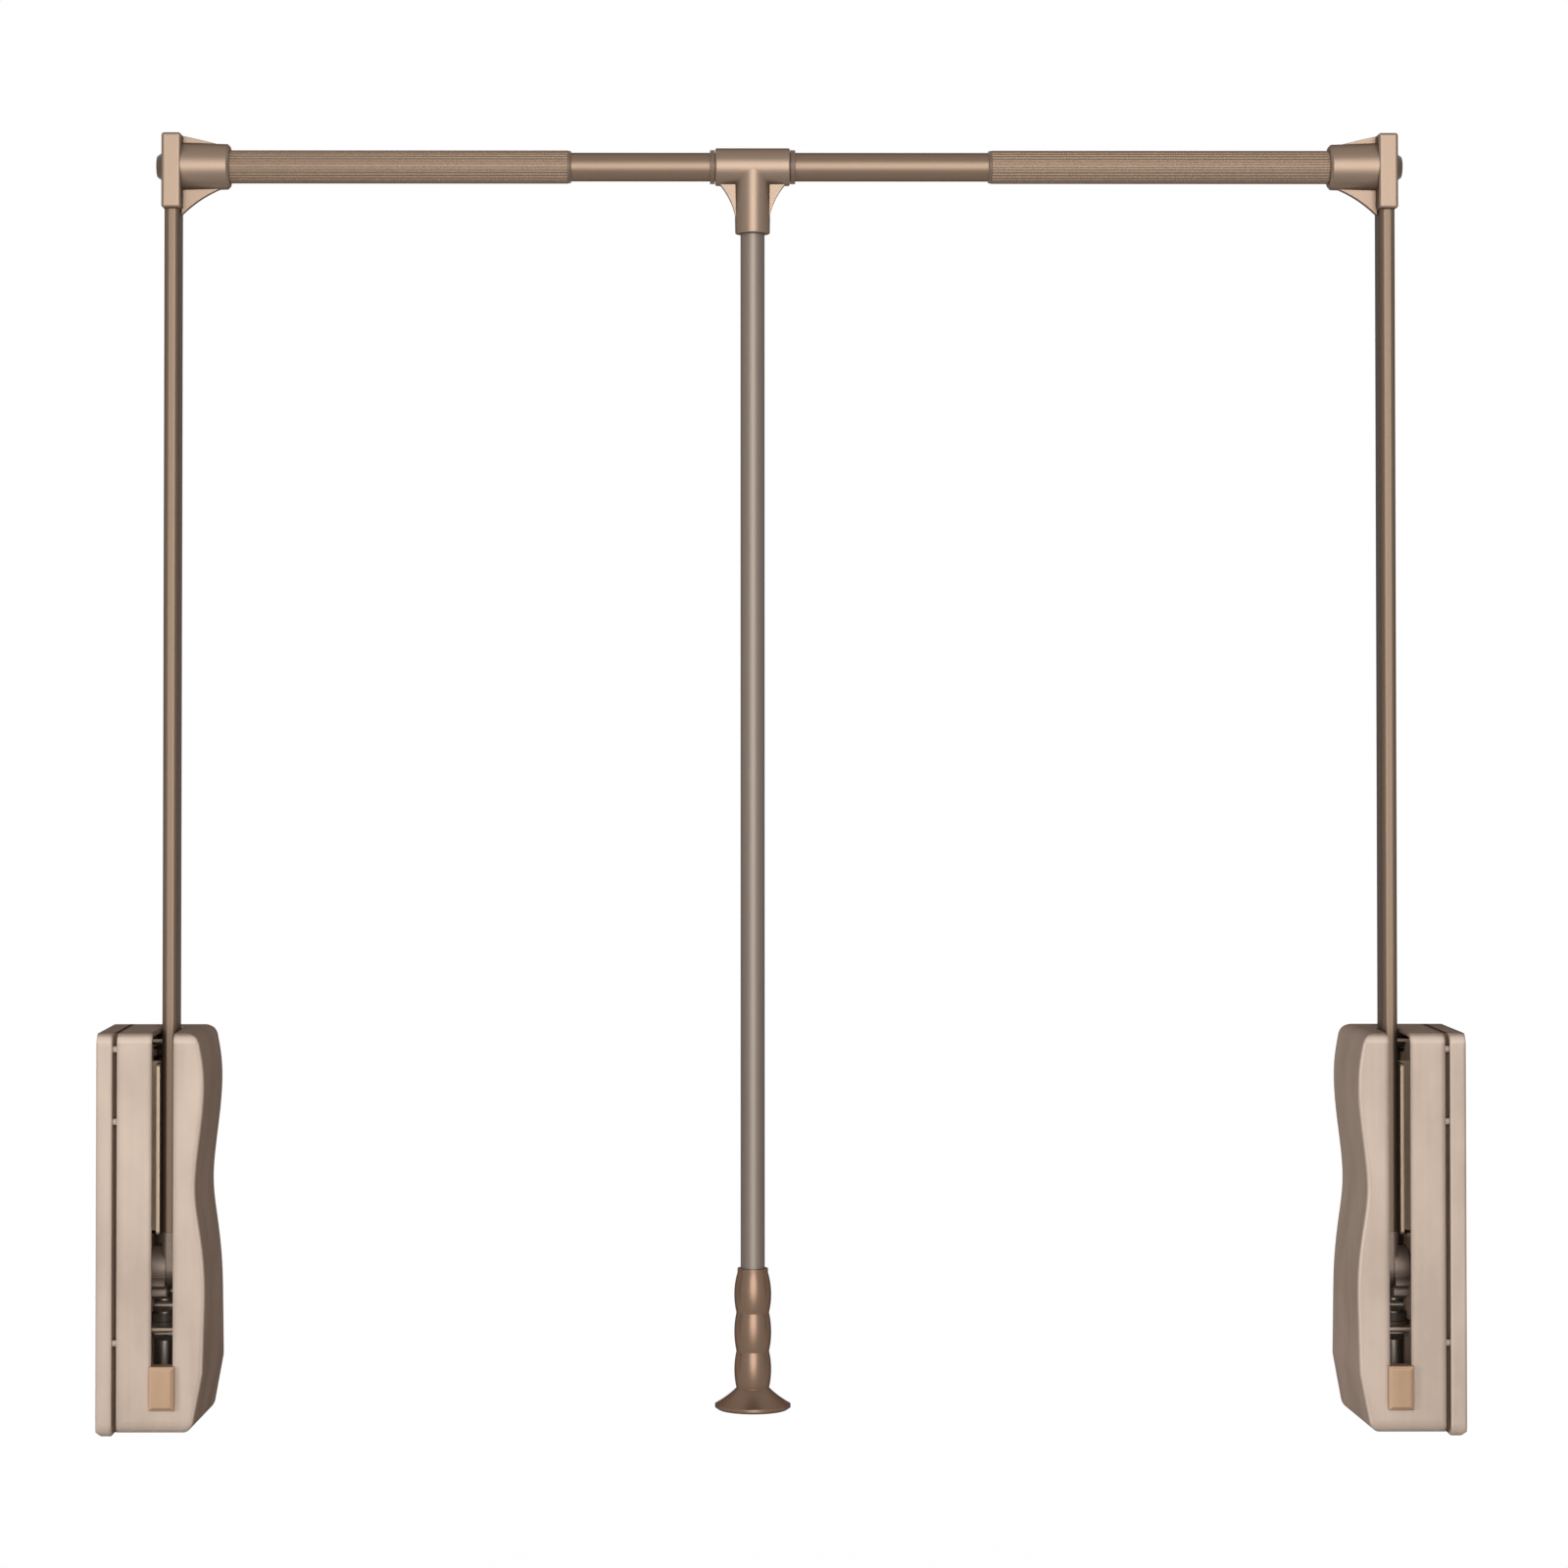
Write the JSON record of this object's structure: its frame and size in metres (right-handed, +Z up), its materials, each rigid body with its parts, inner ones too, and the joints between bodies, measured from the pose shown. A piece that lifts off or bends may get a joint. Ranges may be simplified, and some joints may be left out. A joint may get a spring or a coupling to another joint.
{
  "type": "pull down closet rod",
  "caption": "Pull-down wardrobe rail: sprung arms swing a telescopic hanging rail forward and down from wall housings, drawn by a pull rod with a flared grip",
  "frame": {"origin": "centre of the left wall screw pattern, on the left wall's plane", "axes": "+X from the left wall to the right wall, +Y into the wardrobe (the front faces -Y), +Z up"},
  "size_m": [0.89, 0.0985, 0.8535],
  "materials": {
    "champagne_shell": "satin metallic paint on moulded plastic",
    "champagne_metal": "satin champagne coating",
    "bronze_bolt": "dark bronze plating",
    "bronze_plastic": "dark bronze moulding",
    "zinc_steel": "zinc plated sheet",
    "bright_steel": "turned and ground",
    "spring_steel": "oiled spring wire",
    "cast_foot": "sintered",
    "black_nylon": "moulded",
    "buffer_rubber": "moulded"
  },
  "bodies": {
    "left_housing": {"left_mounting_plate": "champagne_shell", "left_housing_cover": "champagne_shell", "left_chassis": "zinc_steel", "left_arm_guide": "champagne_metal", "left_pivot_pin": "bright_steel", "left_pivot_circlip": "spring_steel", "left_pivot_spacers": "bright_steel", "left_rod_guide": "black_nylon", "left_lift_spring": "spring_steel", "left_spring_guide": "black_nylon", "left_rest_buffer": "buffer_rubber", "left_damper_cylinder": "bright_steel", "left_stop_block": "champagne_shell", "left_cover_screws": "bright_steel"},
    "left_rack": {"left_rack_rod": "bright_steel", "left_spring_collar": "zinc_steel", "left_damper_yoke": "zinc_steel", "left_damper_piston": "bright_steel"},
    "frame_left": {"left_arm": "champagne_metal", "left_arm_foot": "cast_foot", "left_foot_bushes": "black_nylon", "left_rail_bracket": "champagne_metal", "left_rail_bolt": "bronze_bolt", "left_end_plug": "black_nylon", "left_outer_tube": "champagne_metal", "left_tube_bush": "bronze_plastic"},
    "right_housing": {"right_mounting_plate": "champagne_shell", "right_housing_cover": "champagne_shell", "right_chassis": "zinc_steel", "right_arm_guide": "champagne_metal", "right_pivot_pin": "bright_steel", "right_pivot_circlip": "spring_steel", "right_pivot_spacers": "bright_steel", "right_rod_guide": "black_nylon", "right_lift_spring": "spring_steel", "right_spring_guide": "black_nylon", "right_rest_buffer": "buffer_rubber", "right_damper_cylinder": "bright_steel", "right_stop_block": "champagne_shell", "right_cover_screws": "bright_steel"},
    "right_rack": {"right_rack_rod": "bright_steel", "right_spring_collar": "zinc_steel", "right_damper_yoke": "zinc_steel", "right_damper_piston": "bright_steel"},
    "frame_right": {"right_arm": "champagne_metal", "right_arm_foot": "cast_foot", "right_foot_bushes": "black_nylon", "right_rail_bracket": "champagne_metal", "right_rail_bolt": "bronze_bolt", "right_end_plug": "black_nylon", "right_outer_tube": "champagne_metal", "right_tube_bush": "bronze_plastic"},
    "inner_rail": {"inner_tube": "champagne_metal", "inner_tube_glides": "black_nylon", "tee_collars": "bronze_plastic"},
    "pull_handle": {"tee": "champagne_metal", "tee_bush": "black_nylon", "pull_rod": "champagne_metal", "grip": "champagne_shell"}
  },
  "joints": [
    {"name": "frame_swing", "type": "hinge", "parent": "left_housing", "child": "frame_left", "pos_m": [0.043, 0, -0.029], "axis": [1, 0, 0], "range_deg": [0, 130], "stiffness_Nm_per_rad": 10, "springref_deg": -28.65},
    {"name": "left_telescope", "type": "slide", "parent": "frame_left", "child": "inner_rail", "axis": [1, 0, 0], "range_m": [-0.0116, 0.1464]},
    {"name": "right_telescope", "type": "slide", "parent": "inner_rail", "child": "frame_right", "axis": [1, 0, 0], "range_m": [-0.0474, 0.1116]},
    {"name": "right_housing_pivot", "type": "hinge", "parent": "frame_right", "child": "right_housing", "pos_m": [0.847, 0, -0.029], "axis": [1, 0, 0], "range_deg": [-130, 0]},
    {"name": "pull_rod_swing", "type": "hinge", "parent": "inner_rail", "child": "pull_handle", "pos_m": [0.427, 0, 0.699], "axis": [1, 0, 0], "continuous": true},
    {"name": "left_rack_slide", "type": "slide", "parent": "left_housing", "child": "left_rack", "axis": [0, 0, 1], "range_m": [0, 0.041], "deforming": ["left_lift_spring"]},
    {"name": "right_rack_slide", "type": "slide", "parent": "right_housing", "child": "right_rack", "axis": [0, 0, 1], "range_m": [0, 0.041], "deforming": ["right_lift_spring"]}
  ],
  "couplings": [
    {"joint": "right_housing_pivot", "follows": "frame_swing", "ratio": -1},
    {"joint": "left_rack_slide", "follows": "frame_swing", "m_per_rad": 0.018},
    {"joint": "right_rack_slide", "follows": "frame_swing", "m_per_rad": 0.018}
  ]
}
